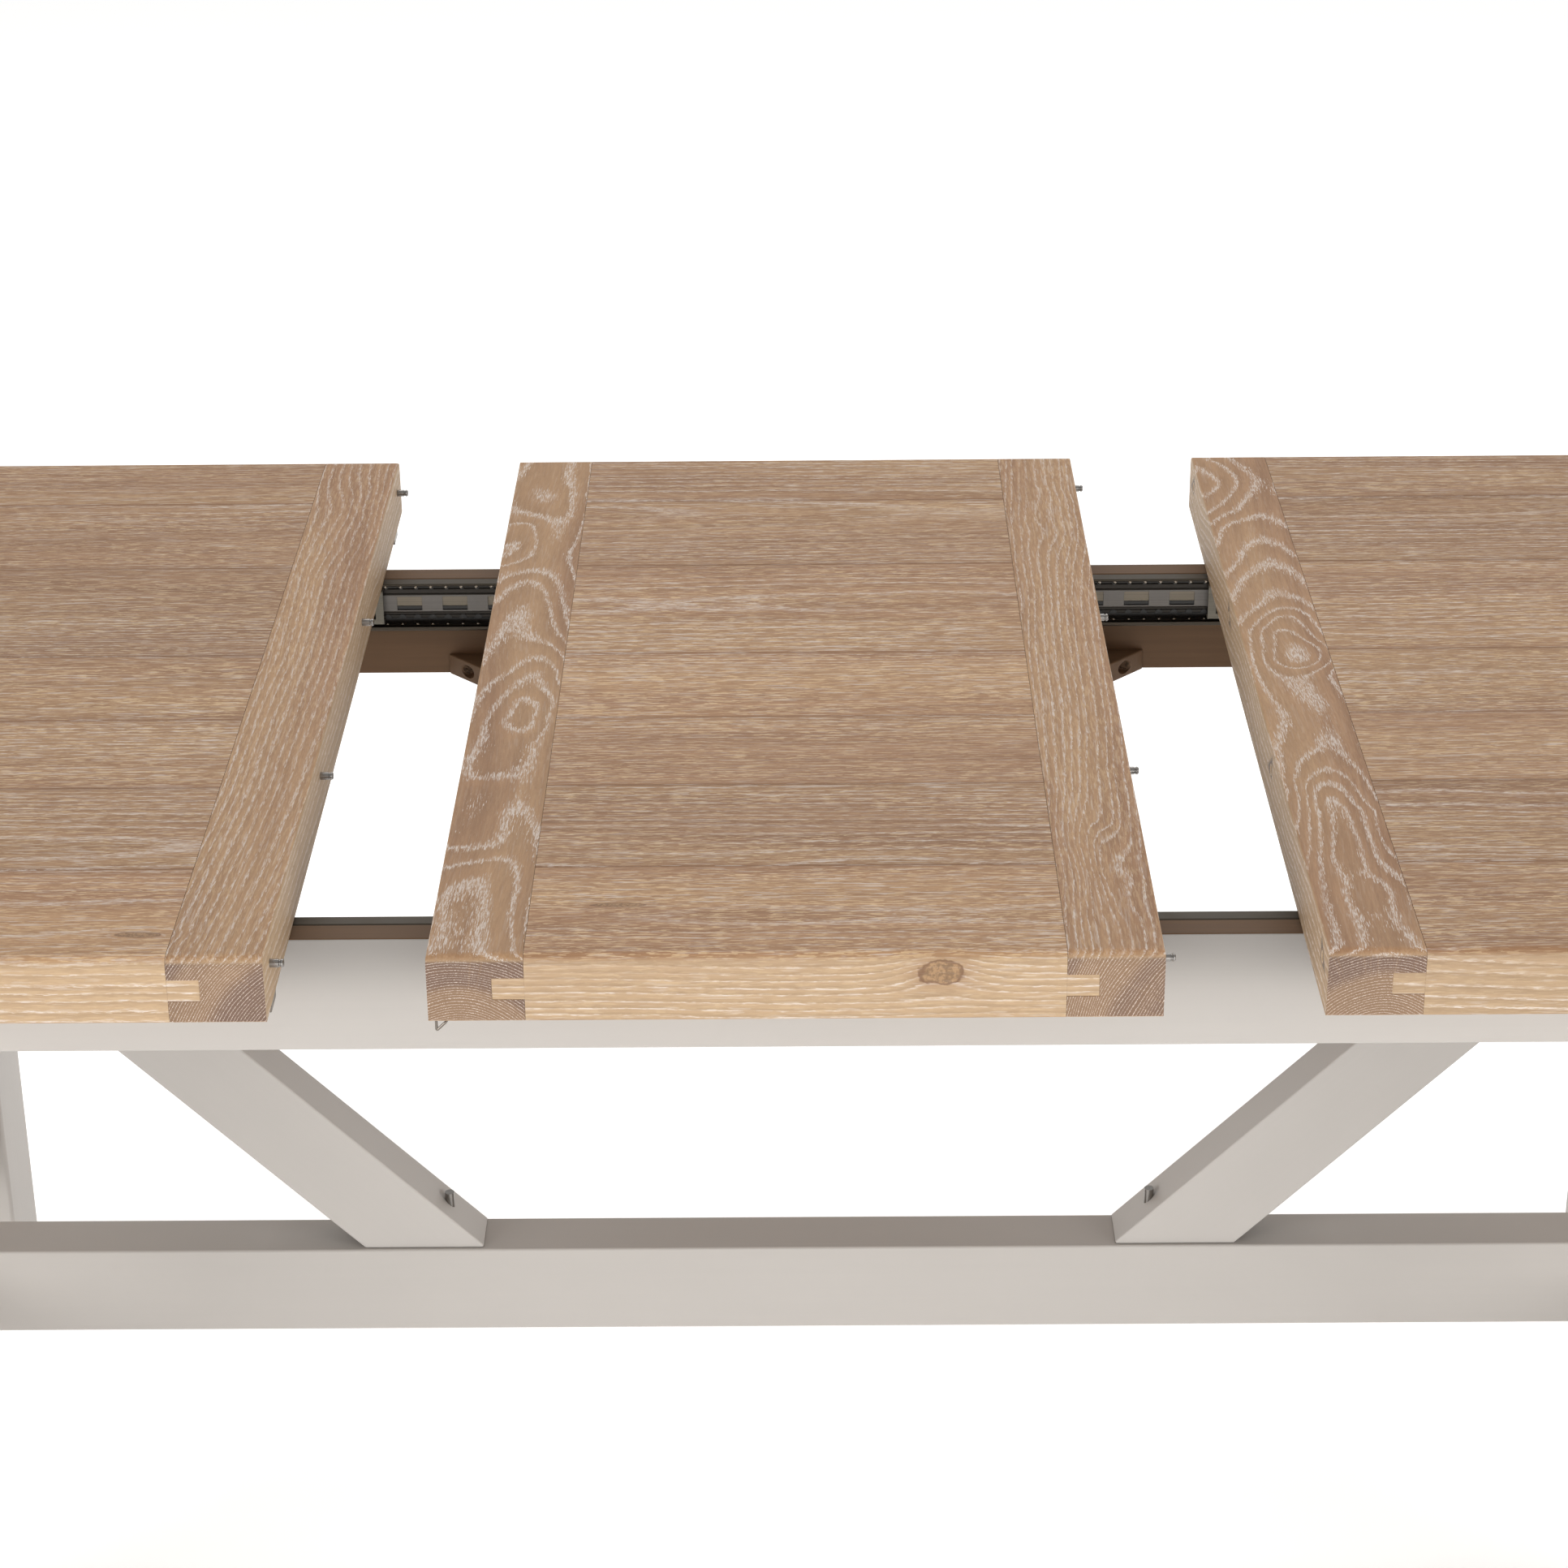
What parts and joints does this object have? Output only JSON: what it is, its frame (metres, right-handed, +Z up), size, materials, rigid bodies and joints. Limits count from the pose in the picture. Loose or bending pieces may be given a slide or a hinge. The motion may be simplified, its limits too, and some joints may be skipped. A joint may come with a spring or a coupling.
{
  "type": "extendable dining table",
  "caption": "Rectangular extending dining table: two sliding oak top halves and a drop-in leaf on a painted four-leg base with a braced low stretcher.",
  "frame": {"origin": "on the floor, under the middle of the table", "axes": "+X along the table to the right, +Y from the front edge to the rear edge, +Z up"},
  "size_m": [2.52, 0.95, 0.78],
  "materials": {
    "limed_oak": "brushed and limed, matt oil",
    "painted_wood": "satin pale warm grey paint over wood",
    "brown_wood": "matt dark brown stain",
    "rail_steel": "dull dark bronze zinc",
    "latch_steel": "bright drawn wire",
    "zinc_steel": "zinc plated",
    "nylon": "moulded, tan",
    "felt": "dense brown felt"
  },
  "bodies": {
    "base": {"front_apron": "painted_wood", "rear_apron": "painted_wood", "left_end_apron": "painted_wood", "right_end_apron": "painted_wood", "front_left_leg": "painted_wood", "front_right_leg": "painted_wood", "rear_left_leg": "painted_wood", "rear_right_leg": "painted_wood", "foot_glides": "zinc_steel", "left_end_stretcher": "painted_wood", "right_end_stretcher": "painted_wood", "long_stretcher": "painted_wood", "left_brace": "painted_wood", "right_brace": "painted_wood", "left_cross_rail": "brown_wood", "right_cross_rail": "brown_wood", "left_brace_rail": "brown_wood", "right_brace_rail": "brown_wood", "cross_rail_blocks": "brown_wood", "block_screws": "zinc_steel", "stretcher_bolts": "zinc_steel", "brace_bolts": "zinc_steel", "front_outer_rail": "rail_steel", "rear_outer_rail": "rail_steel", "outer_rail_screws": "zinc_steel"},
    "left_half": {"left_boards": "limed_oak", "left_inner_breadboard": "limed_oak", "left_outer_breadboard": "limed_oak", "left_pins": "zinc_steel", "left_runners": "brown_wood", "left_inner_rails": "rail_steel", "left_screws": "zinc_steel", "left_strikes": "latch_steel"},
    "right_half": {"right_boards": "limed_oak", "right_inner_breadboard": "limed_oak", "right_outer_breadboard": "limed_oak", "right_bushes": "nylon", "right_runners": "brown_wood", "right_inner_rails": "rail_steel", "right_screws": "zinc_steel", "right_latch_plates": "latch_steel"},
    "leaf": {"leaf_boards": "limed_oak", "leaf_left_breadboard": "limed_oak", "leaf_right_breadboard": "limed_oak", "leaf_pins": "zinc_steel", "leaf_bushes": "nylon", "leaf_pads": "felt", "leaf_latch_plates": "latch_steel", "leaf_strikes": "latch_steel"},
    "left_ball_cages": {"left_cages": "rail_steel", "left_balls": "zinc_steel"},
    "right_ball_cages": {"right_cages": "rail_steel", "right_balls": "zinc_steel"},
    "leaf_front_bail": {"leaf_front_bail": "latch_steel"},
    "leaf_rear_bail": {"leaf_rear_bail": "latch_steel"},
    "right_front_bail": {"right_front_bail": "latch_steel"},
    "right_rear_bail": {"right_rear_bail": "latch_steel"}
  },
  "joints": [
    {"name": "left_half_slide", "type": "slide", "parent": "base", "child": "left_half", "axis": [1, 0, 0], "range_m": [-0.04, 0.1097]},
    {"name": "right_half_slide", "type": "slide", "parent": "base", "child": "right_half", "axis": [-1, 0, 0], "range_m": [-0.04, 0.1097]},
    {"name": "left_cage_roll", "type": "slide", "parent": "base", "child": "left_ball_cages", "axis": [1, 0, 0], "range_m": [-0.02, 0.05485]},
    {"name": "right_cage_roll", "type": "slide", "parent": "base", "child": "right_ball_cages", "axis": [-1, 0, 0], "range_m": [-0.02, 0.05485]},
    {"name": "leaf_lift", "type": "slide", "parent": "base", "child": "leaf", "axis": [0, 0, 1], "range_m": [0, 0.3]},
    {"name": "leaf_front_bail_swing", "type": "hinge", "parent": "leaf", "child": "leaf_front_bail", "pos_m": [-0.2446, -0.431, 0.7245], "axis": [0, 1, 0], "range_deg": [-70, 90]},
    {"name": "leaf_rear_bail_swing", "type": "hinge", "parent": "leaf", "child": "leaf_rear_bail", "pos_m": [-0.2446, 0.431, 0.7245], "axis": [0, 1, 0], "range_deg": [-70, 90]},
    {"name": "right_front_bail_swing", "type": "hinge", "parent": "right_half", "child": "right_front_bail", "pos_m": [0.3739, -0.385, 0.7245], "axis": [0, 1, 0], "range_deg": [-70, 90]},
    {"name": "right_rear_bail_swing", "type": "hinge", "parent": "right_half", "child": "right_rear_bail", "pos_m": [0.3739, 0.385, 0.7245], "axis": [0, 1, 0], "range_deg": [-70, 90]}
  ],
  "couplings": [
    {"joint": "left_cage_roll", "follows": "left_half_slide", "ratio": 0.5},
    {"joint": "right_cage_roll", "follows": "right_half_slide", "ratio": 0.5}
  ]
}
